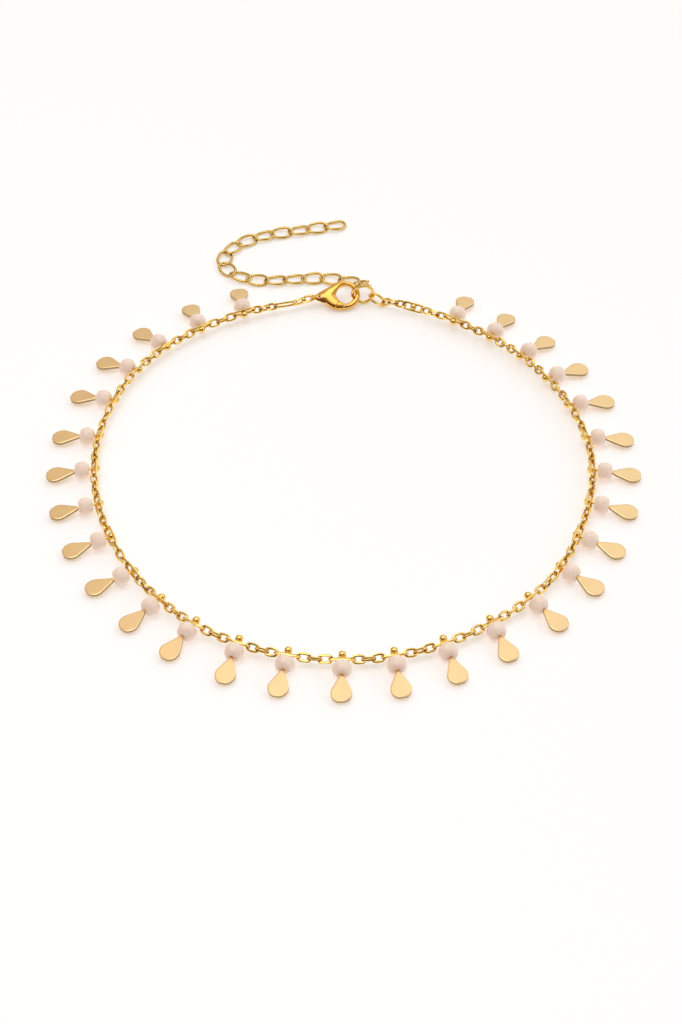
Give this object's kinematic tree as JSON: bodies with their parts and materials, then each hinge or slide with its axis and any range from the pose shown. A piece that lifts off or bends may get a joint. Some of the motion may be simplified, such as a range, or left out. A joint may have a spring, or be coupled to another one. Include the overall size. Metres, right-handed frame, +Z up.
{
  "type": "anklet",
  "caption": "Fine chain anklet with a row of bead drops that end in small teardrop paddles, closed by a sprung lobster clasp with an extender chain.",
  "frame": {"origin": "middle of the footprint of the whole anklet as it lies closed, on the floor", "axes": "+Z up from the floor; +Y from the front of the loop to the clasp and the extender, along the longest extent; +X to the right when the clasp is at the far side"},
  "size_m": [0.0936, 0.1124, 0.0048],
  "materials": {
    "gold": "gold plated, polished",
    "blush": "opaque, softly polished facets"
  },
  "bodies": {
    "anklet": {"drop_01": "blush", "drop_02": "blush", "drop_03": "blush", "drop_04": "blush", "drop_05": "blush", "drop_06": "blush", "drop_07": "blush", "drop_08": "blush", "drop_09": "blush", "drop_10": "blush", "drop_11": "blush", "drop_12": "blush", "drop_13": "blush", "drop_14": "blush", "drop_15": "blush", "drop_16": "blush", "drop_17": "blush", "drop_18": "blush", "drop_19": "blush", "drop_20": "blush", "drop_21": "blush", "drop_22": "blush", "drop_23": "blush", "drop_24": "blush", "drop_25": "blush", "drop_26": "blush", "drop_27": "blush", "drop_28": "blush", "drop_29": "blush", "main_chain_left": "gold", "main_chain_right": "gold", "clasp_body": "gold", "clasp_ring": "gold", "end_ring": "gold", "extender_chain": "gold"},
    "lever": {"clasp_lever": "gold"}
  },
  "joints": [
    {"name": "clasp_lever_hinge", "type": "hinge", "parent": "anklet", "child": "lever", "pos_m": [-0.00206, 0.03368, 0.00161], "axis": [0.0436, -0.4981, 0.866], "range_deg": [0, 22], "stiffness_Nm_per_rad": 0.012}
  ]
}
